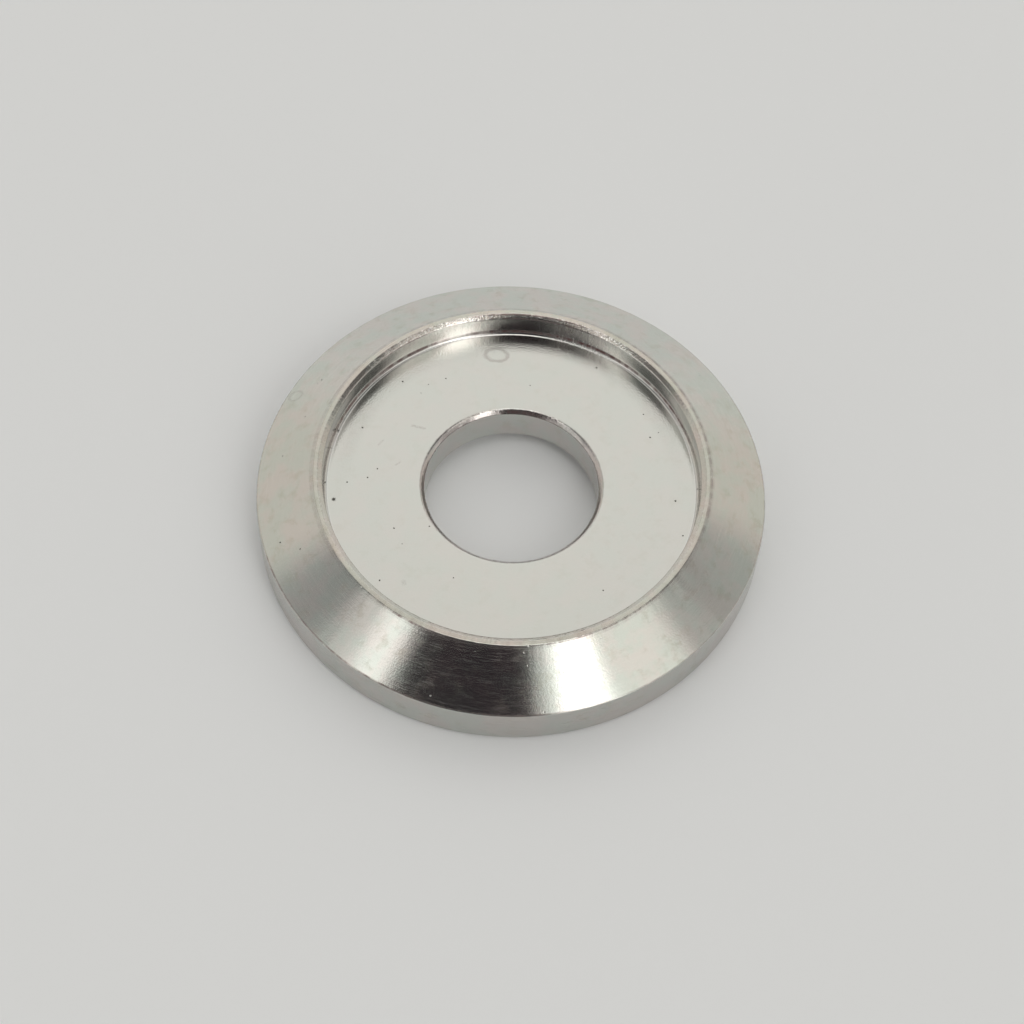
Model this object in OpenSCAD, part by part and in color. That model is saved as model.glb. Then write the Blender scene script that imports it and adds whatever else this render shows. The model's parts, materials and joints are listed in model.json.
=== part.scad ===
// Bevelled fender washer, turned from one piece of steel and nickel-plated.
// It is flat below, bevelled outside, and recessed on top for a bolt's head.
// The origin is the centre of the underside, and +Z runs up the bolt.

/* [Body] */
// Diameter of the outer wall
outside_d = 19; // [17:0.5:30]
// Overall height, from the underside to the lip
height = 3; // [2.5:0.1:4]
// Height of the straight outer wall below the bevel
wall_h = 1.7; // [1:0.1:2]
// Radius of the round where the outer wall meets the bevel
rim_round_r = 0.08; // [0.04:0.02:0.3]
// Size of the chamfer around the outside of the underside
foot_chamfer = 0.1; // [0.04:0.02:0.3]

/* [Head recess] */
// Diameter of the recess that takes the bolt's head
recess_d = 14; // [11:0.5:15.5]
// Depth of the recess below the lip
recess_depth = 1; // [0.5:0.1:1.4]
// Radius of the corner between the recess's wall and its floor
recess_corner_r = 0.15; // [0.05:0.01:0.3]
// Width of the lip, from the recess's wall to the bevel
lip_w = 0.34; // [0.24:0.02:0.6]
// Width of the eased edge on the inside of the lip
lip_ease_w = 0.18; // [0.06:0.02:0.22]
// Drop of the eased edge on the inside of the lip
lip_ease_h = 0.1; // [0.04:0.02:0.2]

/* [Bolt hole] */
// Diameter of the bolt hole
hole_d = 6.5; // [4:0.5:9]
// Size of the chamfer at the hole's mouth in the recess
mouth_chamfer = 0.15; // [0.05:0.05:0.3]
// Size of the wide chamfer at the hole's mouth in the underside
under_chamfer = 0.55; // [0.1:0.05:0.6]

/* [Hidden] */

outside_r = outside_d / 2;
recess_r = recess_d / 2;
hole_r = hole_d / 2;
lip_r = recess_r + lip_w;
floor_z = height - recess_depth;
nickel = [0.78, 0.78, 0.74];

// The bevel falls from the lip to the top of the outer wall.
bevel_angle = atan2(height - wall_h, outside_r - lip_r);
rim_corner = [outside_r, wall_h];

// The rim's round touches the wall and the bevel at this distance from their corner.
rim_touch = rim_round_r * tan((90 - bevel_angle) / 2);
rim_wall_touch = rim_corner - [0, rim_touch];
rim_bevel_touch = rim_corner + rim_touch * [-cos(bevel_angle), sin(bevel_angle)];
rim_centre = rim_wall_touch - [rim_round_r, 0];

// How far a cutting profile reaches past the face that it opens
overcut = 0.5;
turned_fn = 180;
round_fn = 48;

// Half section of the bar end before it is bored: outer wall, rounded rim, bevel and lip
module blank_profile() {
    polygon([
        [0, 0],
        [outside_r - foot_chamfer, 0],
        [outside_r, foot_chamfer],
        rim_wall_touch,
        rim_bevel_touch,
        [lip_r, height],
        [0, height]
    ]);
    translate(rim_centre) circle(r = rim_round_r, $fn = round_fn);
}

// Metal that stays in the recess's corner, between its floor and its wall
module recess_fillet_profile() {
    difference() {
        translate([recess_r - recess_corner_r, floor_z]) square(recess_corner_r);
        translate([recess_r - recess_corner_r, floor_z + recess_corner_r])
            circle(r = recess_corner_r, $fn = round_fn);
    }
}

// Half section of the recess, with the eased edge at its mouth
module recess_profile() {
    difference() {
        polygon([
            [0, floor_z],
            [recess_r, floor_z],
            [recess_r, height - lip_ease_h],
            [recess_r + lip_ease_w, height],
            [recess_r + lip_ease_w, height + overcut],
            [0, height + overcut]
        ]);
        recess_fillet_profile();
    }
}

// Half section of the bolt hole, with a chamfer at each mouth
module hole_profile() {
    polygon([
        [0, -overcut],
        [hole_r + under_chamfer, -overcut],
        [hole_r + under_chamfer, 0],
        [hole_r, under_chamfer],
        [hole_r, floor_z - mouth_chamfer],
        [hole_r + mouth_chamfer, floor_z],
        [hole_r + mouth_chamfer, floor_z + overcut],
        [0, floor_z + overcut]
    ]);
}

module washer() {
    color(nickel)
        rotate_extrude($fn = turned_fn)
            difference() {
                blank_profile();
                recess_profile();
                hole_profile();
            }
}

washer();
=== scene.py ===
"""A bevelled fender washer in satin nickel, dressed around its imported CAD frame.

The washer is one turned ring. Its half section is drawn corner by corner, the corners are
eased, and the outline is spun about the bolt's axis. Every piece is in metres and in the CAD
frame: the underside lies on z = 0 and +Z runs up the bolt. Section sizes are in millimetres.
"""

from __future__ import annotations

import json
import logging
import math
from dataclasses import astuple, dataclass, field
from enum import Enum
from functools import cached_property

import bmesh
import bpy
from mathutils import Matrix, Vector, noise

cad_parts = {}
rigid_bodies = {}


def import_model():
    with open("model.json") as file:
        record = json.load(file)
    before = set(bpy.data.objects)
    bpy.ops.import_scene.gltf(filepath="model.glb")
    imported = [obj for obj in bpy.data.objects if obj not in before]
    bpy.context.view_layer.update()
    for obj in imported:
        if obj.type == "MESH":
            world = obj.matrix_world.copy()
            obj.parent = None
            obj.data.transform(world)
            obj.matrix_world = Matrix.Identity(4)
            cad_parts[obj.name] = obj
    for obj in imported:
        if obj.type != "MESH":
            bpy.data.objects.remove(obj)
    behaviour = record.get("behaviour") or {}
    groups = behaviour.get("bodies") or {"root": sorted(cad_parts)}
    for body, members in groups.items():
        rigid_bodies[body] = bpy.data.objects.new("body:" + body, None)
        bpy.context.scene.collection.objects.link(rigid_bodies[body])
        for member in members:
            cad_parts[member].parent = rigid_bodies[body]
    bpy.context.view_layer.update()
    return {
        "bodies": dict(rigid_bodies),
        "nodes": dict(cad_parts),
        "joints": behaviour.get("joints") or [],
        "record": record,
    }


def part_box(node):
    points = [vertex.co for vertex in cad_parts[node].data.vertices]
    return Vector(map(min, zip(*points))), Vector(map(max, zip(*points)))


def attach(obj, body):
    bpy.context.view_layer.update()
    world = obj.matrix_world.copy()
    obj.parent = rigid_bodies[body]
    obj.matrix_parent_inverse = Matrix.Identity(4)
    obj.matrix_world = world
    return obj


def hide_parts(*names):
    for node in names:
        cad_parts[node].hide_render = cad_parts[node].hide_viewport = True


LOG = logging.getLogger("washer")
MM = 0.001
TURN = 360.0
Colour = tuple[float, float, float]
Ports = list[tuple[str, str]]
Socket = bpy.types.NodeSocket
Tree = bpy.types.NodeTree


def each(kind: type, *rows: tuple) -> tuple:
    """Makes one of a kind from each row of its values."""
    return tuple(kind(*row) for row in rows)


class Zone(Enum):
    """The turned faces of the washer, each with its own finish."""

    UNDERSIDE = 0
    OUTER_WALL = 1
    BEVEL = 2
    LIP = 3
    EASE = 4
    RECESS_WALL = 5
    FLOOR = 6
    MOUTH = 7
    BORE = 8


@dataclass(frozen=True)
class Corner:
    """One corner of the half section, in millimetres, and the round that eases it."""

    radius: float
    height: float
    ease: float
    steps: int


@dataclass(frozen=True)
class WornEdge:
    """How far one turned edge wanders from its true circle, in millimetres.

    The lean is the part of the wander that goes up; the rest goes outwards.
    """

    radius: float
    height: float
    outward: float
    lean: float
    depth: float
    pitch: float
    reach: float = 0.06


@dataclass(frozen=True)
class Section:
    """Half section of the washer, in millimetres.

    A face within slack of the underside or the floor belongs to it. The corner's room is how
    near the recess's wall a face below the floor's level is still part of the worn corner.
    """

    outside_r: float
    height: float
    recess_r: float
    floor_z: float
    corner_r: float
    lip_ease_h: float
    hole_r: float
    mouth_chamfer: float
    under_chamfer: float
    wall_h: float = 1.7
    lip_w: float = 0.34
    lip_ease_w: float = 0.18
    foot_chamfer: float = 0.1
    under_slack: float = 0.01
    floor_slack: float = 0.001
    corner_room: float = 1.0

    @classmethod
    def from_frame(cls, frame: dict) -> "Section":
        """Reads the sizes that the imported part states.


        Returns:
            The section, with the sizes that the frame doesn't state at their defaults.
        """
        low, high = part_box("washer")
        mounts = {m["name"]: m for m in frame["record"]["mounts"]}
        height = round(high.z / MM, 2)
        floor_z = round(mounts["head_seat"]["pos_m"][2] / MM, 3)
        recess_low, recess_high = cls._span(mounts["head_recess"])
        hole_low, hole_high = cls._span(mounts["bolt_hole"])
        return cls(
            outside_r=round((high.x - low.x) / 2 / MM, 2),
            height=height,
            recess_r=mounts["head_recess"]["dims"]["r_mm"],
            floor_z=floor_z,
            corner_r=round(recess_low - floor_z, 3),
            lip_ease_h=round(height - recess_high, 3),
            hole_r=mounts["bolt_hole"]["dims"]["r_mm"],
            mouth_chamfer=round(floor_z - hole_high, 3),
            under_chamfer=round(hole_low, 3),
        )

    @staticmethod
    def _span(bore: dict) -> tuple[float, float]:
        """Finds the lowest and highest level of a bore's straight wall, in millimetres."""
        middle, half = bore["pos_m"][2] / MM, bore["dims"]["length_mm"] / 2
        return middle - half, middle + half

    @property
    def lip_r(self) -> float:
        """Radius at which the lip turns down into the bevel."""
        return self.recess_r + self.lip_w

    @property
    def mouth_r(self) -> float:
        """Radius at which the recess's floor turns down into the hole's chamfer."""
        return self.hole_r + self.mouth_chamfer

    def level(self, radius: float) -> float:
        """Finds the height of the bevel, the recess's floor or the hole's mouth at a radius.

        Args:
            radius: The distance from the axis, in millimetres.

        Returns:
            The height above the underside, in millimetres.
        """
        if radius < self.recess_r:
            return self.floor_z - max(0.0, self.mouth_r - radius)
        share = (self.outside_r - radius) / (self.outside_r - self.lip_r)
        return self.wall_h + share * (self.height - self.wall_h)

    def corners(self) -> list[Corner]:
        """Lists the section's corners, anticlockwise from the hole's lower mouth.

        Returns:
            Every corner with the length that its round takes off each side.
        """
        return [
            Corner(self.hole_r + self.under_chamfer, 0.0, 0.03, 3),
            Corner(self.outside_r - self.foot_chamfer, 0.0, 0.04, 4),
            Corner(self.outside_r, self.foot_chamfer, 0.04, 4),
            Corner(self.outside_r, self.wall_h, 0.04, 8),
            Corner(self.lip_r, self.height, 0.022, 5),
            Corner(self.recess_r + self.lip_ease_w, self.height, 0.025, 5),
            Corner(self.recess_r, self.height - self.lip_ease_h, 0.03, 5),
            Corner(self.recess_r, self.floor_z, self.corner_r, 11),
            Corner(self.mouth_r, self.floor_z, 0.055, 6),
            Corner(self.hole_r, self.floor_z - self.mouth_chamfer, 0.03, 4),
            Corner(self.hole_r, self.under_chamfer, 0.015, 3),
        ]

    def worn_edges(self) -> list[WornEdge]:
        """Lists the edges that the tool and handling left uneven.

        Returns:
            Every uneven edge, from the rim in to the hole.
        """
        return [
            WornEdge(self.outside_r, self.wall_h, 0.8, 0.6, 0.006, 0.40),
            WornEdge(self.lip_r, self.height, 0.3, 0.95, 0.006, 0.25),
            WornEdge(self.recess_r + self.lip_ease_w, self.height, -0.5, 0.85, 0.011, 0.08),
            WornEdge(self.recess_r, self.height - self.lip_ease_h, -0.9, 0.4, 0.007, 0.12),
            WornEdge(self.mouth_r, self.floor_z, -0.5, 0.85, 0.008, 0.20),
            WornEdge(self.hole_r, self.floor_z - self.mouth_chamfer, -0.9, 0.4, 0.008, 0.30),
        ]

    def zone(self, radius: float, height: float) -> Zone:
        """Names the turned face that a point of the surface lies on.

        Args:
            radius: The point's distance from the axis, in millimetres.
            height: Its height above the underside, in millimetres.

        Returns:
            The face's zone.
        """
        if height <= self.under_slack:
            return Zone.UNDERSIDE
        if radius < self.recess_r - self.corner_room and height < self.floor_z - self.floor_slack:
            if height > self.floor_z - self.mouth_chamfer and radius < self.mouth_r:
                return Zone.MOUTH
            return Zone.BORE if radius < self.hole_r + self.under_chamfer else Zone.FLOOR
        if height <= self.wall_h and radius > self.lip_r:
            return Zone.OUTER_WALL
        if radius > self.lip_r:
            return Zone.BEVEL
        if radius > self.recess_r + self.lip_ease_w:
            return Zone.LIP
        if height >= self.height - self.lip_ease_h:
            return Zone.EASE
        return Zone.RECESS_WALL if radius > self.recess_r - self.corner_r else Zone.FLOOR


@dataclass(frozen=True)
class Mark:
    """A speck or dent: degrees round the axis, then its radius and its own size in millimetres."""

    turn: float
    radius: float
    size: float

    def place(self, section: Section) -> Vector:
        """Finds the mark's centre on the bevel, the recess's floor or the hole's mouth.

        Args:
            section: The half section that the mark lies on.

        Returns:
            The centre, in millimetres.
        """
        turn = math.radians(self.turn)
        level = section.level(self.radius)
        return Vector((self.radius * math.cos(turn), self.radius * math.sin(turn), level))


FLOOR_SPECKS = each(
    Mark,
    (189.0, 6.63, 0.10), (134.6, 6.21, 0.045), (120.2, 5.40, 0.04), (127.8, 5.50, 0.03),
    (132.7, 5.35, 0.025), (158.9, 6.15, 0.05), (175.5, 5.05, 0.04), (180.1, 5.37, 0.045),
    (182.4, 6.12, 0.045), (83.4, 4.56, 0.035), (25.8, 6.07, 0.03), (25.0, 5.68, 0.05),
    (35.2, 5.98, 0.035), (356.4, 6.13, 0.055), (343.6, 6.66, 0.045), (207.0, 4.76, 0.045),
    (223.7, 6.36, 0.05), (214.2, 3.56, 0.045), (215.8, 4.80, 0.03), (244.9, 4.57, 0.035),
    (308.8, 5.59, 0.04), (61.0, 6.30, 0.05),
)
CORNER_SPECKS = each(
    Mark,
    (163.2, 6.95, 0.09), (182.8, 6.95, 0.07), (1.4, 6.95, 0.06), (170.0, 6.95, 0.05),
)
BEVEL_SPECKS = each(
    Mark,
    (200.1, 8.87, 0.05), (204.8, 8.31, 0.04), (151.1, 8.48, 0.04), (152.4, 8.55, 0.03),
    (176.0, 8.60, 0.035), (37.0, 8.80, 0.035), (48.0, 8.60, 0.03), (164.0, 8.20, 0.03),
)
BEVEL_DENTS = each(
    Mark,
    (276.4, 7.96, 0.035), (275.6, 7.56, 0.04), (254.3, 9.22, 0.035), (279.4, 9.40, 0.04),
    (296.7, 7.60, 0.03), (262.5, 7.62, 0.014), (285.0, 8.30, 0.03), (277.0, 7.37, 0.05),
    (225.8, 7.37, 0.05),
)
MOUTH_DENTS = each(
    Mark,
    (68.5, 3.34, 0.06), (66.0, 3.37, 0.05), (100.5, 3.33, 0.05), (103.0, 3.36, 0.04),
)


@dataclass(frozen=True)
class Scratch:
    """A faint scratch or smear on the recess's floor.

    Both ends are given in degrees and millimetres, and the width is half the scratch's own.
    """

    start: tuple[float, float]
    end: tuple[float, float]
    width: float
    strength: float


FLOOR_SCRATCHES = each(
    Scratch,
    ((148.0, 4.56), (145.8, 4.10), 0.08, 0.20),
    ((163.8, 5.28), (161.2, 5.20), 0.06, 0.13),
    ((172.1, 4.40), (169.9, 4.27), 0.06, 0.13),
    ((229.8, 5.77), (230.3, 5.81), 0.13, 0.14),
)


@dataclass
class TurnedWasher:
    """The washer's own mesh, spun from its half section.

    One wedge is spun, and it is doubled round the axis until it closes. A straight side is cut
    once near each end, as far from it as hold says, and into parts of about the span between.
    Hold, span and shortest, the length that has room for the cuts, are in millimetres.
    """

    section: Section
    segments: int = 960
    doublings: int = 4
    span: float = 1.2
    hold: float = 0.05
    shortest: float = 0.125
    piece: bpy.types.Object | None = field(default=None, init=False)
    bm: bmesh.types.BMesh | None = field(default=None, init=False)

    def build(self) -> bpy.types.Object:
        """Draws, eases and spins the section, and links the piece.

        Returns:
            The washer's object, at the origin, with its place in its mesh.
        """
        self.bm = bmesh.new()
        self._draw_section()
        self._measure_outline()
        self._spin()
        self._wear_edges()
        self._unwrap()
        mesh = bpy.data.meshes.new("washer_turned")
        for face in self.bm.faces:
            face.smooth = True
            centre = face.calc_center_median()
            face.material_index = self.section.zone(centre.xy.length / MM, centre.z / MM).value
        self.bm.to_mesh(mesh)
        self.bm.free()
        self.piece = bpy.data.objects.new("washer_turned", mesh)
        bpy.context.scene.collection.objects.link(self.piece)
        self._even_normals()
        return self.piece

    def _draw_section(self) -> None:
        """Draws the half section in the XZ plane, eases its corners and keeps its outline."""
        corners = self.section.corners()
        verts = [self.bm.verts.new((c.radius * MM, 0.0, c.height * MM)) for c in corners]
        self.bm.faces.new(verts)
        for vert, corner in zip(verts, corners):
            bmesh.ops.bevel(
                self.bm, geom=[vert], offset=corner.ease * MM, offset_type="OFFSET",
                segments=corner.steps, profile=0.5, affect="VERTICES", material=-1,
            )
        for edge in list(self.bm.edges):
            if edge.calc_length() / MM > self.shortest:
                self._hold_side(edge)
        bmesh.ops.delete(self.bm, geom=list(self.bm.faces), context="FACES_ONLY")

    def _hold_side(self, edge: bmesh.types.BMEdge) -> None:
        """Cuts a straight side near both ends, so the worn edges stay narrow, and evenly between.

        Args:
            edge: The side to cut.
        """
        for end in list(edge.verts):
            share = self.hold * MM / edge.calc_length()
            new_edge, _ = bmesh.utils.edge_split(edge, end, share)
            edge = edge if edge.calc_length() > new_edge.calc_length() else new_edge
        cuts = int(edge.calc_length() / MM / self.span)
        if cuts:
            bmesh.ops.subdivide_edges(self.bm, edges=[edge], cuts=cuts)

    def _measure_outline(self) -> None:
        """Writes each outline vertex's distance along the outline, as a share of the whole."""
        layer = self.bm.verts.layers.float.new("along")
        self.bm.verts.ensure_lookup_table()
        start = self.bm.verts[0]
        walk, edge, here = [start], start.link_edges[0], start
        lengths = [0.0]
        while True:
            here = edge.other_vert(here)
            lengths.append(lengths[-1] + edge.calc_length())
            if here is start:
                break
            walk.append(here)
            edge = next(e for e in here.link_edges if e is not edge)
        for vert, length in zip(walk, lengths):
            vert[layer] = length / lengths[-1]

    def _spin(self) -> None:
        """Spins the outline through one wedge, doubles the wedge round the axis and closes it."""
        wedge = math.tau / 2**self.doublings
        steps = self.segments // 2**self.doublings
        bmesh.ops.spin(
            self.bm, geom=list(self.bm.verts) + list(self.bm.edges), cent=(0.0, 0.0, 0.0),
            axis=(0.0, 0.0, 1.0), angle=wedge, steps=steps, use_merge=False,
        )
        for double in range(self.doublings):
            geom = [*self.bm.verts, *self.bm.edges, *self.bm.faces]
            copy = bmesh.ops.duplicate(self.bm, geom=geom)
            moved = [g for g in copy["geom"] if isinstance(g, bmesh.types.BMVert)]
            turn = Matrix.Rotation(wedge * 2**double, 3, "Z")
            bmesh.ops.rotate(self.bm, verts=moved, cent=(0.0, 0.0, 0.0), matrix=turn)
        bmesh.ops.remove_doubles(self.bm, verts=list(self.bm.verts), dist=1e-7)
        bmesh.ops.recalc_face_normals(self.bm, faces=list(self.bm.faces))

    def _wear_edges(self) -> None:
        """Lets each edge wander by about a hundredth of a millimetre."""
        edges = self.section.worn_edges()
        slice_gap, finer, finer_share = 7.3, 2.3, 0.5
        for vert in self.bm.verts:
            co = vert.co / MM
            radius = co.xy.length
            out = Vector((co.x, co.y, 0.0)) / radius
            shift = Vector()
            for seed, edge in enumerate(edges):
                share = math.hypot(radius - edge.radius, co.z - edge.height) / edge.reach
                if share >= 1.0:
                    continue
                spot = out * (edge.radius / edge.pitch) + Vector((0.0, 0.0, slice_gap * seed))
                wander = noise.noise(spot) + finer_share * noise.noise(spot * finer)
                way = out * edge.outward + Vector((0.0, 0.0, edge.lean))
                shift += way * (edge.depth * wander * (1.0 - share))
            vert.co += shift * MM

    def _unwrap(self) -> None:
        """Lays the surface out as two straight strips, one for each half turn."""
        along = self.bm.verts.layers.float["along"]
        uv = self.bm.loops.layers.uv.new("OFBake")
        margin, half_turn = 0.01, math.pi
        for face in self.bm.faces:
            centre = face.calc_center_median()
            turn = math.atan2(centre.y, centre.x) % math.tau
            row = int(turn // half_turn)
            shares = [loop.vert[along] for loop in face.loops]
            wraps = max(shares) - min(shares) > 0.5
            for loop, share in zip(face.loops, shares):
                angle = math.atan2(loop.vert.co.y, loop.vert.co.x) - turn
                angle = turn + (angle + math.pi) % math.tau - math.pi
                if wraps and share < 0.5:
                    share += 1.0
                across = (angle - row * half_turn) / half_turn
                loop[uv].uv = (
                    margin + across * (1 - 2 * margin),
                    0.5 * row + margin + share * (0.5 - 3 * margin),
                )

    def _even_normals(self) -> None:
        """Weights the normals by face area, so the flats stay flat up to their rounded edges."""
        mod = self.piece.modifiers.new("even_normals", "WEIGHTED_NORMAL")
        mod.mode = "FACE_AREA"
        mod.weight = 100
        mod.keep_sharp = False
        deps = bpy.context.evaluated_depsgraph_get()
        done = bpy.data.meshes.new_from_object(self.piece.evaluated_get(deps))
        self.piece.modifiers.clear()
        old, self.piece.data = self.piece.data, done
        bpy.data.meshes.remove(old)
        done.name = "washer_turned"


class Sheet:
    """A node tree under construction, with short calls for the nodes that this script uses.

    Where a call takes an object as a value, it is a socket to link or a plain value to set.
    """

    def __init__(self, tree: Tree) -> None:
        """Empties the tree and keeps its lists of nodes and links."""
        self.nodes = tree.nodes
        self.links = tree.links
        self.nodes.clear()

    def node(self, kind: str, *values: object, **settings: object) -> bpy.types.Node:
        """Adds a node.

        Args:
            kind: The node's type.
            *values: Its inputs, in order, as far as they are given.
            **settings: Its own properties, by name.

        Returns:
            The node.
        """
        made = self.nodes.new(kind)
        for name, value in settings.items():
            setattr(made, name, value)
        for socket, value in zip(made.inputs, values):
            self.feed(socket, value)
        return made

    def feed(self, socket: Socket, value: object) -> None:
        """Links a socket to another, or sets it to a plain value.

        Args:
            socket: The input socket.
            value: The output socket or the plain value.
        """
        if isinstance(value, Socket):
            self.links.new(value, socket)
        else:
            socket.default_value = value

    def fill(self, node: bpy.types.Node, values: dict[str, object]) -> Socket:
        """Feeds a node's inputs by their names.

        Args:
            node: The node.
            values: A value for each name.

        Returns:
            The node's first output.
        """
        for name, value in values.items():
            self.feed(node.inputs[name], value)
        return node.outputs[0]

    def place_group(self, group: Tree, *values: object) -> bpy.types.NodeOutputs:
        """Places a group and feeds it values in order."""
        return self.node("ShaderNodeGroup", *values, node_tree=group).outputs

    def math(self, operation: str, *values: object, clamp: bool = False) -> Socket:
        """Adds a Math node.

        Args:
            operation: The node's operation.
            *values: Its inputs, in order.
            clamp: Whether the result is kept between 0 and 1.

        Returns:
            The result's socket.
        """
        made = self.node("ShaderNodeMath", *values, operation=operation, use_clamp=clamp)
        return made.outputs[0]

    def times(self, first: object, second: object, plus: object = 0.0) -> Socket:
        """Multiplies two values and adds a third."""
        return self.math("MULTIPLY_ADD", first, second, plus)

    def split(self, vector: object) -> bpy.types.NodeOutputs:
        """Splits a vector into its X, Y and Z."""
        return self.node("ShaderNodeSeparateXYZ", vector).outputs

    def vector(self, operation: str, *values: object) -> Socket:
        """Adds a Vector Math node.

        Args:
            operation: The node's operation.
            *values: Its inputs, in order.

        Returns:
            The socket of the result, which is a number for a length, distance or dot product.
        """
        made = self.node("ShaderNodeVectorMath", *values, operation=operation)
        plain = operation in ("LENGTH", "DISTANCE", "DOT_PRODUCT")
        return made.outputs["Value" if plain else "Vector"]

    def scale(self, vector: object, factor: object) -> Socket:
        """Scales a vector by a number."""
        made = self.node("ShaderNodeVectorMath", vector, operation="SCALE")
        return self.fill(made, {"Scale": factor})

    def blend(self, share: object, first: object, second: object) -> Socket:
        """Mixes two colours.

        Args:
            share: How much of the second colour shows.
            first: The colour at a share of 0.
            second: The colour at a share of 1.

        Returns:
            The mixed colour's socket.
        """
        made = self.node("ShaderNodeMix", share, data_type="RGBA", clamp_factor=True)
        for socket, colour in ((made.inputs[6], first), (made.inputs[7], second)):
            self.feed(socket, (*colour, 1.0) if isinstance(colour, tuple) else colour)
        return made.outputs[2]

    def smooth(self, value: object, low: object, high: object) -> Socket:
        """Goes smoothly from 0 at low to 1 at high, which may be the smaller of the two."""
        made = self.node("ShaderNodeMapRange", interpolation_type="SMOOTHSTEP")
        return self.fill(made, {"Value": value, "From Min": low, "From Max": high})

    def noise(
        self, vector: object, scale: float, detail: float, roughness: float = 0.5
    ) -> Socket:
        """Adds a Noise texture.

        Args:
            vector: Where the noise is read.
            scale: How many bumps it has along one unit.
            detail: How many finer layers are added.
            roughness: How strong the finer layers are.

        Returns:
            The noise's socket.
        """
        values = {"Vector": vector, "Scale": scale, "Detail": detail, "Roughness": roughness}
        return self.fill(self.node("ShaderNodeTexNoise"), values)


def numbers(*names: str) -> Ports:
    """Lists a group's sockets for numbers."""
    return [(name, "NodeSocketFloat") for name in names]


def vectors(*names: str) -> Ports:
    """Lists a group's sockets for vectors."""
    return [(name, "NodeSocketVector") for name in names]


class GroupSheet(Sheet):
    """A shared node group under construction, with the values that it is given, in order."""

    def __init__(self, name: str, inputs: Ports, outputs: Ports | None = None) -> None:
        """Starts the group.

        Args:
            name: The group's name.
            inputs: Name and socket type of each value that it takes.
            outputs: Name and socket type of each result, or None where it is one mask.
        """
        outputs = outputs or numbers("Mask")
        self.tree = bpy.data.node_groups.new(name, "ShaderNodeTree")
        for direction, sockets in (("INPUT", inputs), ("OUTPUT", outputs)):
            for label, kind in sockets:
                self.tree.interface.new_socket(label, in_out=direction, socket_type=kind)
        super().__init__(self.tree)
        self.given = list(self.node("NodeGroupInput").outputs)[: len(inputs)]

    def done(self, *results: object) -> Tree:
        """Feeds the group's results, in order, and hands it over."""
        self.node("NodeGroupOutput", *results)
        return self.tree


@dataclass(frozen=True)
class Panel:
    """One soft-edged patch of the studio round the washer, in degrees.

    The azimuth is 0 towards the camera's side and grows to the camera's right.
    """

    azimuth: float
    elevation: float
    half_width: float
    half_height: float
    edge: float
    tone: Colour


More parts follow.
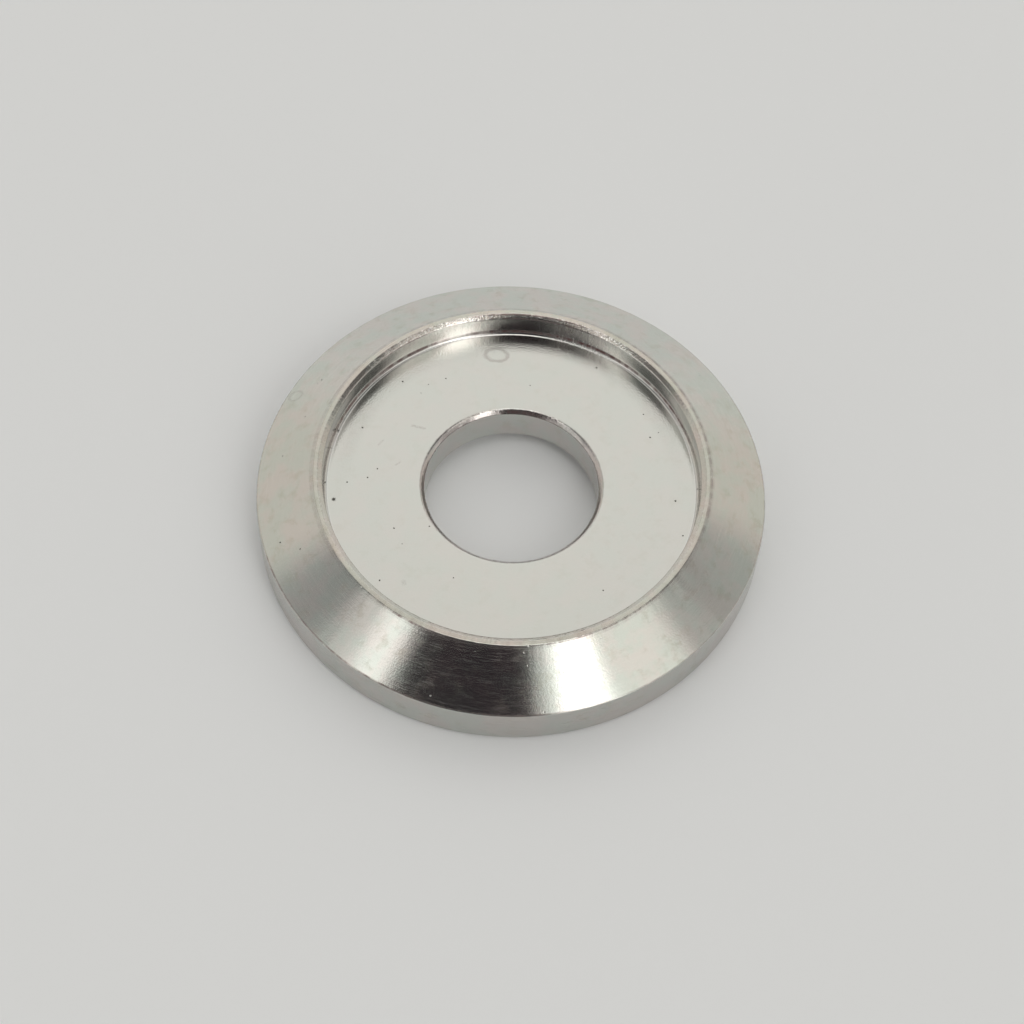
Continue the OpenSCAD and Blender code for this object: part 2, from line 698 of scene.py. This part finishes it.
@dataclass(frozen=True)
class Studio:
    """The soft surroundings that light the washer and show in its metal."""

    base: Colour = (0.92, 0.915, 0.875)
    panels: tuple[Panel, ...] = each(
        Panel,
        (180, 4, 84, 20, 10, (0.69, 0.69, 0.66)),
        (180, 73, 80, 9, 8, (0.80, 0.77, 0.73)),
        (136, 52, 22, 18, 10, (0.56, 0.55, 0.53)),
        (-136, 52, 22, 18, 10, (0.54, 0.53, 0.50)),
        (116, 20, 26, 24, 12, (0.67, 0.64, 0.585)),
        (-116, 20, 26, 24, 12, (0.67, 0.64, 0.59)),
        (100, 42, 14, 22, 7, (0.42, 0.42, 0.40)),
        (101, 56, 17, 16, 8, (0.13, 0.13, 0.125)),
        (-86, 44, 12, 24, 7, (0.36, 0.36, 0.35)),
        (-90.5, 57, 17, 14, 8, (0.16, 0.16, 0.155)),
        (-60, 46, 9, 34, 5, (0.66, 0.66, 0.63)),
        (-54, 51, 8.5, 14, 5, (1.32, 1.31, 1.26)),
        (-15.5, 30, 32, 44, 5, (0.030, 0.024, 0.027)),
        (-41, 20, 10, 14, 4, (0.50, 0.49, 0.47)),
        (-44, 69, 8, 7, 4, (0.55, 0.54, 0.51)),
        (26, 70, 10, 11, 6, (0.45, 0.44, 0.42)),
        (35, 26, 8.5, 12, 5, (1.8, 1.79, 1.73)),
        (36, 48, 10, 13, 5, (2.35, 2.33, 2.25)),
        (45, 68, 8, 10, 5, (2.8, 2.78, 2.7)),
        (66, 46, 18, 40, 5, (0.44, 0.43, 0.41)),
        (62, 45, 15, 14, 5, (0.98, 0.97, 0.91)),
        (0, 90, 220, 12, 5, (1.65, 1.65, 1.60)),
    )

    def light(self) -> None:
        """Builds the world from the base tone and the panels, in order.

        The patches are broad and soft, so the rays that leave the metal and the floor find
        them, and the world needs no map of its bright parts.
        """
        world = bpy.data.worlds.new("studio")
        bpy.context.scene.world = world
        world.use_nodes = True
        world.cycles.sampling_method = "NONE"
        sheet = Sheet(world.node_tree)
        front, back = self._ways(sheet)
        patch = self._panel_group()
        colour: object = self.base
        for panel in self.panels:
            behind = abs(panel.azimuth) > 90
            turn = (panel.azimuth + 90) % 180 - 90 if behind else panel.azimuth
            values = [back if behind else front, (turn, panel.elevation, 0.0)]
            for half_size in (panel.half_width, panel.half_height):
                values += [half_size + panel.edge, half_size - panel.edge]
            colour = sheet.blend(sheet.place_group(patch, *values)[0], colour, panel.tone)
        shine = sheet.node("ShaderNodeBackground", colour).outputs[0]
        sheet.node("ShaderNodeOutputWorld", shine)

    @staticmethod
    def _ways(sheet: Sheet) -> list[Socket]:
        """Turns the world's directions into azimuth and elevation in degrees.

        Args:
            sheet: The world's node tree.

        Returns:
            A vector whose azimuth is 0 in front, and one whose azimuth is 0 behind.
        """
        parts = sheet.split(sheet.node("ShaderNodeTexCoord").outputs["Generated"])
        elevation = sheet.math("DEGREES", sheet.math("ARCSINE", parts["Z"]))
        ways = []
        for side in (1.0, -1.0):
            across, ahead = sheet.times(parts["X"], side), sheet.times(parts["Y"], -side)
            azimuth = sheet.math("DEGREES", sheet.math("ARCTAN2", across, ahead))
            ways.append(sheet.node("ShaderNodeCombineXYZ", azimuth, elevation).outputs[0])
        return ways

    @staticmethod
    def _panel_group() -> Tree:
        """Makes the group that masks one panel by azimuth and elevation.

        Returns:
            The group. Its limits are where each soft edge ends outside and inside.
        """
        inputs = vectors("Way", "Centre")
        inputs += numbers("Width Out", "Width In", "Height Out", "Height In")
        sheet = GroupSheet("studio_panel", inputs)
        way, centre, width_out, width_in, height_out, height_in = sheet.given
        parts = sheet.split(sheet.vector("ABSOLUTE", sheet.vector("SUBTRACT", way, centre)))
        across = sheet.smooth(parts["X"], width_out, width_in)
        upwards = sheet.smooth(parts["Y"], height_out, height_in)
        return sheet.done(sheet.times(across, upwards))


@dataclass(frozen=True)
class EdgeLine:
    """A thin dark line where the plate tarnished along one turned edge.

    Radius, height and width are in millimetres. The line runs for reach degrees each way from
    its middle, and a reach over 180 takes it all the way round.
    """

    radius: float
    height: float
    width: float
    strength: float
    middle: float = 0.0
    reach: float = 200.0


@dataclass(frozen=True)
class WaterRing:
    """The outline that a dried drop left: its place in degrees and millimetres, then half sizes."""

    turn: float
    radius: float
    half_width: float
    half_depth: float
    strength: float


@dataclass(frozen=True)
class Arc:
    """A stretch of the turn: its middle, its reach each way and its ends' fade, in degrees."""

    middle: float
    reach: float
    fade: float


@dataclass(frozen=True)
class GrainRing:
    """A ring, in millimetres, where the satin skin is deeper and the plate duller."""

    inner: float
    outer: float
    soft: float
    deeper: float
    duller: float
    arc: Arc


@dataclass(frozen=True)
class NickelFinish:
    """How the tool, the plate and use left one turned face.

    The streaks are as long and as wide as streak says, in millimetres, along the turning and
    across it. The depths of the streaks and of the satin skin are in thousandths of a
    millimetre. The streaks' tone says how far they lighten and darken the plate, and the cloud
    how far its dull patches darken it. Glints are painted highlights, near-white specks of
    colour where the edges sparkle, with specks of painted shade between them, and their number
    is how far both show inside their arc. Haze says how many times deeper the dull arc's skin
    is.
    """

    name: str
    tint: Colour
    roughness: float
    anisotropy: float = 0.7
    streak: tuple[float, float] = (1.6, 0.05)
    streak_depth: float = 0.3
    skin_size: float = 0.12
    skin_depth: float = 1.2
    stain: float = 0.6
    scuff: float = 0.06
    streak_tone: float = 0.0
    cloud: float = 0.0
    # Painted sparkle: how strongly painted glints and painted shade specks show in the colour.
    glints: float = 0.0
    glint_arc: Arc = Arc(96.0, 52.0, 12.0)
    dull_arc: Arc | None = None
    haze: float = 0.0
    grain_ring: GrainRing | None = None
    lines: tuple[EdgeLine, ...] = ()
    rings: tuple[WaterRing, ...] = ()
    scratches: tuple[Scratch, ...] = ()
    specks: tuple[Mark, ...] = ()
    dents: tuple[Mark, ...] = ()


RIM_LINES = each(EdgeLine, (9.475, 1.725, 0.045, 0.25), (9.47, 1.73, 0.05, 0.7, 240.0, 42.0))
LIP_LINES = each(
    EdgeLine,
    (7.375, 2.98, 0.04, 0.6, 300.0, 28.0),
    (7.375, 2.98, 0.06, 0.8, 241.0, 9.0),
    (7.38, 2.975, 0.10, 0.42, 18.0, 42.0),
    (7.41, 2.955, 0.12, 0.16),
)
LIP_TARNISH = each(EdgeLine, (7.26, 3.0, 0.16, 0.17, 262.0, 38.0))
EASE_LINES = each(
    EdgeLine,
    (7.01, 2.895, 0.05, 0.80, 84.0, 15.0),
    (7.01, 2.895, 0.04, 0.50, 128.0, 12.0),
    (7.15, 2.975, 0.055, 0.85, 87.0, 15.0),
)
CORNER_LINES = each(
    EdgeLine,
    (6.985, 2.10, 0.07, 0.5, 210.0, 65.0),
    (6.99, 2.12, 0.11, 0.95, 76.0, 29.0),
    (6.99, 2.12, 0.11, 0.85, 128.0, 13.0),
    (6.995, 2.125, 0.12, 0.82, 33.0, 16.0),
    (6.995, 2.125, 0.12, 0.82, 153.0, 15.0),
)
MOUTH_LINES = each(
    EdgeLine,
    (3.255, 1.86, 0.03, 0.5),
    (3.40, 2.0, 0.03, 0.4, 200.0, 60.0),
    (3.32, 1.92, 0.12, 0.9, 86.0, 14.0),
)

FINISHES: dict[Zone, NickelFinish] = {
    Zone.UNDERSIDE: NickelFinish("nickel_underside", (0.67, 0.66, 0.62), 0.20, skin_depth=2.0),
    Zone.OUTER_WALL: NickelFinish(
        "nickel_outer_wall", (0.58, 0.575, 0.555), 0.22, skin_depth=1.8, stain=0.8,
        lines=RIM_LINES,
    ),
    Zone.BEVEL: NickelFinish(
        "nickel_bevel", (0.70, 0.703, 0.673), 0.14, streak=(0.8, 0.045), streak_depth=1.3,
        skin_size=0.07, stain=0.95, streak_tone=0.10, cloud=0.03, glints=0.05,
        lines=RIM_LINES + LIP_LINES, specks=BEVEL_SPECKS, dents=BEVEL_DENTS,
        rings=(WaterRing(157.0, 9.12, 0.27, 0.24, 0.12),),
    ),
    Zone.LIP: NickelFinish(
        "nickel_lip", (0.625, 0.605, 0.555), 0.24, skin_depth=3.5, stain=1.0, glints=0.15,
        lines=LIP_LINES + LIP_TARNISH + EASE_LINES,
    ),
    # The ease carries the strongest painted glints and painted shade specks.
    Zone.EASE: NickelFinish(
        "nickel_ease", (0.66, 0.635, 0.60), 0.10, anisotropy=0.2, skin_size=0.055,
        skin_depth=4.8, stain=1.0, glints=0.85, lines=EASE_LINES,
    ),
    Zone.RECESS_WALL: NickelFinish(
        "nickel_recess_wall", (0.70, 0.695, 0.68), 0.12, anisotropy=0.1, streak=(0.09, 0.7),
        streak_depth=0.9, skin_size=0.07, skin_depth=1.8, scuff=0.04, streak_tone=0.25,
        glints=0.15, dull_arc=Arc(70.0, 11.0, 5.0), haze=3.5,
        lines=EASE_LINES + CORNER_LINES, specks=CORNER_SPECKS,
    ),
    Zone.FLOOR: NickelFinish(
        "nickel_floor", (0.660, 0.659, 0.630), 0.12, streak_depth=0.15, skin_size=0.065,
        skin_depth=1.8, stain=0.32, scuff=0.0, specks=FLOOR_SPECKS, scratches=FLOOR_SCRATCHES,
        rings=(WaterRing(98.0, 5.94, 0.41, 0.30, 0.22),),
        grain_ring=GrainRing(6.02, 6.58, 0.2, 4.5, 0.06, Arc(95.0, 78.0, 20.0)),
    ),
    Zone.MOUTH: NickelFinish(
        "nickel_mouth", (0.60, 0.57, 0.56), 0.14, skin_depth=3.0, glints=0.35,
        lines=MOUTH_LINES, dents=MOUTH_DENTS,
    ),
    Zone.BORE: NickelFinish(
        "nickel_bore", (0.63, 0.625, 0.605), 0.22, streak=(0.12, 0.9), streak_depth=0.2,
        skin_depth=1.6, stain=0.8, scuff=0.0,
    ),
}


@dataclass
class PlateGroups:
    """The node groups that the plated finishes share, each made when it is first used.

    Position, Circle, Radius, Height, Turn, Ragged and Patch are what the place group gives.
    A band says where in a noise a patch, stain or break starts and where it is whole, and the
    patches leave a least share of each line. A core is the share of a mark's width within which
    it is at its strongest. Uneven and waver say how far a noise moves the outline of a speck and
    of a water ring. The lines' fade is in degrees. The speckle is how many bumps the ragged
    noise has in a millimetre, and the patchy one along a line as long as the edge's radius.
    """

    patch_band: tuple[float, float] = (0.36, 0.60)
    patch_least: float = 0.4
    broad_band: tuple[float, float] = (0.36, 0.64)
    small_band: tuple[float, float] = (0.50, 0.72)
    broken_band: tuple[float, float] = (0.32, 0.58)
    line_core: float = 0.25
    speck_core: float = 0.3
    scratch_core: float = 0.2
    ring_core: float = 0.04
    ring_width: float = 0.36
    uneven: float = 1.4
    waver: float = 0.7
    line_fade: float = 8.0
    speckle: float = 22.0

    @cached_property
    def place(self) -> Tree:
        """Turns Object coordinates into millimetres, radius, height and degrees round the axis.

        It also makes the two noises that many marks share.

        Returns:
            The group. Ragged is how ragged a spot's outline is, and Patch how patchy a line is.
        """
        outputs = vectors("Position", "Circle")
        outputs += numbers("Radius", "Height", "Turn", "Ragged", "Patch")
        sheet = GroupSheet("washer_place", [], outputs)
        spot = sheet.scale(sheet.node("ShaderNodeTexCoord").outputs["Object"], 1.0 / MM)
        parts = sheet.split(spot)
        flat = sheet.vector("MULTIPLY", spot, (1.0, 1.0, 0.0))
        turn = sheet.math("DEGREES", sheet.math("ARCTAN2", parts["Y"], parts["X"]))
        turn = sheet.math("WRAP", turn, TURN, 0.0)
        circle = sheet.vector("NORMALIZE", flat)
        ragged = sheet.noise(spot, self.speckle, 2.0)
        patch = sheet.noise(sheet.scale(circle, self.speckle), 1.0, 3.0, 0.6)
        patch = sheet.smooth(patch, *self.patch_band)
        patch = sheet.times(patch, 1.0 - self.patch_least, self.patch_least)
        radius = sheet.vector("LENGTH", flat)
        return sheet.done(spot, circle, radius, parts["Z"], turn, ragged, patch)

    @cached_property
    def streaks(self) -> Tree:
        """Makes fine streaks that run along the turning or across it.

        Returns:
            The group. Along and Across are a streak's own sizes in millimetres.
        """
        inputs = vectors("Circle") + numbers("Radius", "Height", "Along", "Across")
        sheet = GroupSheet("turned_streaks", inputs, numbers("Streak"))
        circle, radius, height, along, across = sheet.given
        level = sheet.math("DIVIDE", sheet.math("SUBTRACT", radius, height), across)
        lift = sheet.node("ShaderNodeCombineXYZ", 0.0, 0.0, level).outputs[0]
        round_way = sheet.scale(circle, sheet.math("DIVIDE", radius, along))
        return sheet.done(sheet.noise(sheet.vector("ADD", round_way, lift), 1.0, 3.0, 0.6))

    @cached_property
    def skin(self) -> Tree:
        """Makes the fine unevenness of a satin plate.

        Returns:
            The group. Size is that of one bump in millimetres.
        """
        inputs = vectors("Position") + numbers("Size")
        sheet = GroupSheet("satin_skin", inputs, numbers("Skin"))
        position, size = sheet.given
        spot = sheet.scale(position, sheet.math("DIVIDE", 1.0, size))
        return sheet.done(sheet.noise(spot, 1.0, 2.0, 0.55))

    @cached_property
    def stain(self) -> Tree:
        """Makes the faint stains of an old plate.

        Returns:
            The group. Stain multiplies the plate's colour, and Dull is where the stains dull it.
        """
        pink, green = (1.030, 0.978, 0.970), (0.958, 0.995, 0.970)
        clean, straw = (1.0, 1.0, 1.0), (0.945, 0.935, 0.900)
        inputs = vectors("Position") + numbers("Strength")
        outputs = [("Stain", "NodeSocketColor"), *numbers("Dull")]
        sheet = GroupSheet("plate_stain", inputs, outputs)
        position, strength = sheet.given
        broad = sheet.smooth(sheet.noise(position, 0.9, 3.0, 0.6), *self.broad_band)
        elsewhere = sheet.vector("ADD", position, (17.0, 5.0, 3.0))
        small = sheet.smooth(sheet.noise(elsewhere, 1.9, 4.0, 0.62), *self.small_band)
        hue = sheet.blend(broad, pink, green)
        both = sheet.vector("MULTIPLY", hue, sheet.blend(small, clean, straw))
        return sheet.done(sheet.blend(strength, clean, both), sheet.times(small, strength))

    @cached_property
    def arc(self) -> Tree:
        """Masks a stretch of the turn.

        Returns:
            The group. Middle, Reach and Fade are those of an Arc.
        """
        inputs = numbers("Turn", "Middle", "Reach", "Fade")
        sheet = GroupSheet("turned_arc", inputs)
        turn, middle, reach, fade = sheet.given
        away = sheet.math("WRAP", sheet.math("SUBTRACT", turn, middle), TURN / 2, -TURN / 2)
        inside = sheet.math("SUBTRACT", reach, sheet.math("ABSOLUTE", away))
        return sheet.done(sheet.smooth(inside, sheet.times(fade, -1.0), fade))

    @cached_property
    def line(self) -> Tree:
        """Masks a patchy line along an edge of the section.

        Returns:
            The group. What it takes besides the place are an EdgeLine's values, in order.
        """
        inputs = numbers("Radius", "Height", "Turn", "Patch", "Edge Radius", "Edge Height")
        inputs += numbers("Width", "Strength", "Middle", "Reach")
        sheet = GroupSheet("edge_tarnish", inputs)
        radius, height, turn, patch, edge_radius, edge_height, width, strength, *arc = sheet.given
        aside = sheet.math("SUBTRACT", radius, edge_radius)
        above = sheet.math("SUBTRACT", height, edge_height)
        away = sheet.math("SQRT", sheet.times(aside, aside, sheet.times(above, above)))
        mask = sheet.smooth(sheet.math("DIVIDE", away, width), 1.0, self.line_core)
        stretch = sheet.place_group(self.arc, turn, *arc, self.line_fade)[0]
        for share in (patch, stretch, strength):
            mask = sheet.times(mask, share)
        return sheet.done(mask)

    @cached_property
    def speck(self) -> Tree:
        """Masks one small ragged spot.

        Returns:
            The group. Centre and Size are those of a Mark.
        """
        inputs = vectors("Position", "Centre") + numbers("Size", "Ragged")
        sheet = GroupSheet("speck", inputs)
        position, centre, size, ragged = sheet.given
        share = sheet.math("DIVIDE", sheet.vector("DISTANCE", position, centre), size)
        ragged = sheet.times(ragged, self.uneven, -self.uneven / 2)
        return sheet.done(sheet.smooth(sheet.math("ADD", share, ragged), 1.0, self.speck_core))

    @cached_property
    def ring(self) -> Tree:
        """Masks the uneven outline of a dried drop.

        Returns:
            The group. Half Size is half of the drop's size each way.
        """
        inputs = vectors("Position", "Centre", "Half Size")
        sheet = GroupSheet("water_ring", inputs)
        position, centre, half_size = sheet.given
        away = sheet.vector("SUBTRACT", position, centre)
        length = sheet.vector("LENGTH", sheet.vector("DIVIDE", away, half_size))
        waver = sheet.times(sheet.noise(position, 3.0, 2.0), self.waver, -self.waver / 2)
        from_line = sheet.math("SUBTRACT", sheet.math("ADD", length, waver), 1.0)
        away = sheet.math("ABSOLUTE", from_line)
        return sheet.done(sheet.smooth(away, self.ring_width, self.ring_core))

    @cached_property
    def scratch(self) -> Tree:
        """Masks a thin broken line that runs from a start along a way.

        Returns:
            The group. Width is half of the line's own.
        """
        inputs = vectors("Position", "Start", "Way") + numbers("Width", "Ragged")
        sheet = GroupSheet("scratch", inputs)
        position, start, way, width, ragged = sheet.given
        away = sheet.vector("SUBTRACT", position, start)
        along, length = (sheet.vector("DOT_PRODUCT", part, way) for part in (away, way))
        foot = sheet.scale(way, sheet.math("DIVIDE", along, length, clamp=True))
        aside = sheet.math("DIVIDE", sheet.vector("DISTANCE", away, foot), width)
        broken = sheet.smooth(ragged, *self.broken_band)
        return sheet.done(sheet.times(sheet.smooth(aside, 1.0, self.scratch_core), broken))


class PlateSheet(Sheet):
    """The node tree of one plated finish, with the groups that it is made of."""

    def __init__(self, tree: Tree, groups: PlateGroups, section: Section) -> None:
        """Starts the tree with the place that everything on it is measured from.

        Args:
            tree: The material's node tree.
            groups: The shared groups.
            section: The half section that the marks lie on.
        """
        super().__init__(tree)
        self.groups = groups
        self.section = section
        self.place = self.place_group(groups.place)

    def use(self, group: Tree, *values: object) -> bpy.types.NodeOutputs:
        """Places a group.

        Args:
            group: The group, which is fed what it takes of the place.
            *values: Its other values, in order.

        Returns:
            The group's outputs.
        """
        made = self.node("ShaderNodeGroup", node_tree=group)
        rest = iter(values)
        for socket in made.inputs:
            placed = socket.name in self.place
            self.feed(socket, self.place[socket.name] if placed else next(rest))
        return made.outputs

    def arc(self, arc: Arc) -> Socket:
        """Masks a stretch of the turn."""
        return self.use(self.groups.arc, *astuple(arc))[0]

    def grain(self, ring: GrainRing) -> Socket:
        """Masks a grainy ring.

        Args:
            ring: The ring.

        Returns:
            The mask's socket.
        """
        inside, past = (
            self.smooth(self.place["Radius"], radius - ring.soft, radius + ring.soft)
            for radius in (ring.inner, ring.outer)
        )
        return self.times(self.math("SUBTRACT", inside, past), self.arc(ring.arc))

    def most(self, masks: list) -> object:
        """Joins masks into one that is as strong as the strongest of them.

        Args:
            masks: The masks' sockets.

        Returns:
            The mask's socket, or 0 where there are none.
        """
        joined: object = 0.0
        for mask in masks:
            joined = self.math("MAXIMUM", mask, joined)
        return joined

    def spots(self, found: tuple[Mark, ...]) -> object:
        """Masks specks or dents together."""
        spot = self.groups.speck
        return self.most([self.use(spot, m.place(self.section), m.size)[0] for m in found])

    def tarnish(self, finish: NickelFinish) -> object:
        """Masks a finish's tarnished lines, water rings and scratches together.

        Args:
            finish: The finish.

        Returns:
            The mask's socket, or 0 where there are none.
        """
        masks = [self.use(self.groups.line, *astuple(line))[0] for line in finish.lines]
        for ring in finish.rings:
            centre = Mark(ring.turn, ring.radius, 0.0).place(self.section)
            half_size = (ring.half_width, ring.half_depth, 1.0)
            outline = self.use(self.groups.ring, centre, half_size)[0]
            masks.append(self.times(outline, ring.strength))
        for scratch in finish.scratches:
            ends = (scratch.start, scratch.end)
            start, end = (Mark(*spot, 0.0).place(self.section) for spot in ends)
            line = self.use(self.groups.scratch, start, end - start, scratch.width)[0]
            masks.append(self.times(line, scratch.strength))
        return self.most(masks)


@dataclass(frozen=True)
class Nickel:
    """Makes the plated finishes and lays them on the washer.

    Grime covers the plate under each speck and roughens it. Tarnish and haze take their losses
    from the metal's shine, and haze has its own roughness. Streaks and stains move the
    roughness by the spread. A band says where in a noise a scuff, a painted shade speck or a
    painted glint starts and where it is whole. The glints' rest is the share of them that shows
    outside their arc, and a dent's depth is in metres.
    """

    section: Section
    groups: PlateGroups
    tarnish: Colour = (0.135, 0.058, 0.058)
    grime: Colour = (0.05, 0.045, 0.04)
    # Painted sparkle colours: a dark painted shade speck and a near-white painted highlight.
    glint_shade: Colour = (0.44, 0.375, 0.35)
    glint_tone: Colour = (0.97, 0.96, 0.94)
    grime_cover: float = 0.85
    grime_roughness: float = 0.4
    tarnish_loss: float = 0.6
    haze_loss: float = 0.16
    haze_roughness: float = 0.25
    spread: float = 0.05
    scuff_band: tuple[float, float] = (0.50, 0.72)
    glint_shade_band: tuple[float, float] = (0.50, 0.34)
    glint_band: tuple[float, float] = (0.52, 0.66)
    glint_rest: float = 0.2
    dent_depth: float = 0.003

    def dress(self, piece: bpy.types.Object) -> None:
        """Gives the piece one material for each zone, in the zones' order."""
        for zone in Zone:
            piece.data.materials.append(self.material(FINISHES[zone]))

    def material(self, finish: NickelFinish) -> bpy.types.Material:
        """Builds one finish as a material.

        Args:
            finish: What the tool, the plate and use left.

        Returns:
            The material.
        """
        mat = bpy.data.materials.new(finish.name)
        mat.use_nodes = True
        sheet = PlateSheet(mat.node_tree, self.groups, self.section)
        streak = sheet.use(self.groups.streaks, *finish.streak)[0]
        skin = sheet.use(self.groups.skin, finish.skin_size)[0]
        stain = sheet.use(self.groups.stain, finish.stain)
        specks = sheet.spots(finish.specks)
        tarnish = sheet.tarnish(finish)
        shine = sheet.times(tarnish, -self.tarnish_loss, 1.0)
        rough = sheet.times(stain["Dull"], self.spread, finish.roughness - self.spread / 2)
        rough = sheet.times(streak, self.spread, rough)
        if finish.scuff:
            scuffed = sheet.smooth(streak, *self.scuff_band)
            rough = sheet.times(scuffed, finish.scuff, rough)
        if finish.dull_arc:
            arc = sheet.arc(finish.dull_arc)
            rough = sheet.times(arc, self.haze_roughness - finish.roughness, rough)
            skin = sheet.times(skin, sheet.times(arc, finish.haze, 1.0))
            shine = sheet.times(arc, -self.haze_loss, shine)
        if finish.grain_ring:
            ring = sheet.grain(finish.grain_ring)
            rough = sheet.times(ring, finish.grain_ring.duller, rough)
            skin = sheet.times(skin, sheet.times(ring, finish.grain_ring.deeper, 1.0))
        height = sheet.times(streak, finish.streak_depth * MM)
        height = sheet.times(skin, finish.skin_depth * MM, height)
        height = sheet.times(sheet.spots(finish.dents), -self.dent_depth, height)
        bump = sheet.node("ShaderNodeBump")
        tangent = sheet.node("ShaderNodeTangent", direction_type="RADIAL", axis="Z")
        colour = sheet.blend(tarnish, self._colour(sheet, finish, streak, stain), self.tarnish)
        values = {
            "Base Color": sheet.blend(sheet.times(specks, self.grime_cover), colour, self.grime),
            "Metallic": shine if finish.lines or finish.rings else 1.0,
            "Roughness": sheet.times(specks, self.grime_roughness, rough),
            "Normal": sheet.fill(bump, {"Distance": MM, "Height": height}),
            "Anisotropic": finish.anisotropy,
            "Anisotropic Rotation": 0.25,
            "Tangent": tangent.outputs[0],
        }
        metal = sheet.fill(sheet.node("ShaderNodeBsdfPrincipled"), values)
        sheet.node("ShaderNodeOutputMaterial", metal)
        return mat

    def _colour(
        self, sheet: PlateSheet, finish: NickelFinish, streak: object, stain: object
    ) -> Socket:
        """Colours the plate with stains, streaks, dull patches, and painted glints and shade
        specks.

        Args:
            sheet: The material's sheet.
            finish: What the tool, the plate and use left.
            streak: The streaks' socket.
            stain: The outputs of the stain group.

        Returns:
            The colour's socket.
        """
        colour = sheet.vector("MULTIPLY", stain["Stain"], finish.tint)
        if finish.streak_tone:
            tone = sheet.times(streak, finish.streak_tone, 1.0 - finish.streak_tone / 2)
            colour = sheet.scale(colour, tone)
        if finish.cloud:
            tone = sheet.times(stain["Dull"], -finish.cloud, 1.0 + finish.cloud / 5)
            colour = sheet.scale(colour, tone)
        # Painted sparkle: near-white painted glints, with painted shade specks between, laid into
        # the colour.
        if finish.glints:
            rest = self.glint_rest * finish.glints
            glinting = sheet.times(sheet.arc(finish.glint_arc), finish.glints - rest, rest)
            for band, tone in ((self.glint_shade_band, self.glint_shade), (self.glint_band, self.glint_tone)):
                share = sheet.times(sheet.smooth(sheet.place["Ragged"], *band), glinting)
                colour = sheet.blend(share, colour, tone)
        return colour


@dataclass(frozen=True)
class Table:
    """The plain pale floor that the washer lies on."""

    reach: float = 0.9
    tone: Colour = (0.945, 0.955, 0.97)

    def lay(self) -> bpy.types.Object:
        """Makes the floor just under the washer.

        Returns:
            The floor's object.
        """
        bm = bmesh.new()
        bmesh.ops.create_circle(bm, cap_ends=True, radius=self.reach, segments=96)
        mesh = bpy.data.meshes.new("table")
        bm.to_mesh(mesh)
        bm.free()
        mat = bpy.data.materials.new("table_paper")
        mat.use_nodes = True
        paper = mat.node_tree.nodes["Principled BSDF"]
        paper.inputs["Base Color"].default_value = (*self.tone, 1.0)
        paper.inputs["Roughness"].default_value = 0.9
        paper.inputs["Specular IOR Level"].default_value = 0.2
        mesh.materials.append(mat)
        floor = bpy.data.objects.new("table", mesh)
        bpy.context.scene.collection.objects.link(floor)
        return floor


@dataclass(frozen=True)
class PhotoCamera:
    """The camera of the photograph, worked out from the washer's edges."""

    elevation: float = 58.23
    roll: float = 2.78
    distance: float = 81.85
    aside: float = 0.066
    lower: float = -0.874
    lens: float = 76.97
    aim_height: float = 1.7

    def place(self) -> bpy.types.Object:
        """Makes the camera and sets it as the scene's.

        Returns:
            The camera's object.
        """
        lift = math.radians(self.elevation)
        back = Vector((0.0, -math.cos(lift), math.sin(lift)))
        right = Vector((1.0, 0.0, 0.0))
        up = back.cross(right)
        centre = back * self.distance + right * self.aside + up * self.lower
        centre.z += self.aim_height
        lean = math.radians(self.roll)
        across = right * math.cos(lean) + up * math.sin(lean)
        above = up * math.cos(lean) - right * math.sin(lean)
        data = bpy.data.cameras.new("photo_camera")
        data.lens = self.lens
        data.sensor_width = 36.0
        data.clip_start, data.clip_end = 0.005, 3.0
        camera = bpy.data.objects.new("photo_camera", data)
        bpy.context.scene.collection.objects.link(camera)
        turn = Matrix((across, above, back)).transposed().to_4x4()
        camera.matrix_world = Matrix.Translation(centre * MM) @ turn
        bpy.context.scene.camera = camera
        return camera


def main() -> None:
    """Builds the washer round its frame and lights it."""
    logging.basicConfig(level=logging.INFO, format="%(name)s: %(message)s")
    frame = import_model()
    bpy.context.scene.view_settings.view_transform = "Standard"
    section = Section.from_frame(frame)
    PhotoCamera().place()
    Studio().light()
    Table().lay()
    piece = TurnedWasher(section).build()
    Nickel(section, PlateGroups()).dress(piece)
    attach(piece, "root")
    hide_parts("washer")
    LOG.info("%s: %d faces", piece.name, len(piece.data.polygons))
    bpy.context.view_layer.update()


if __name__ == "__main__":
    main()
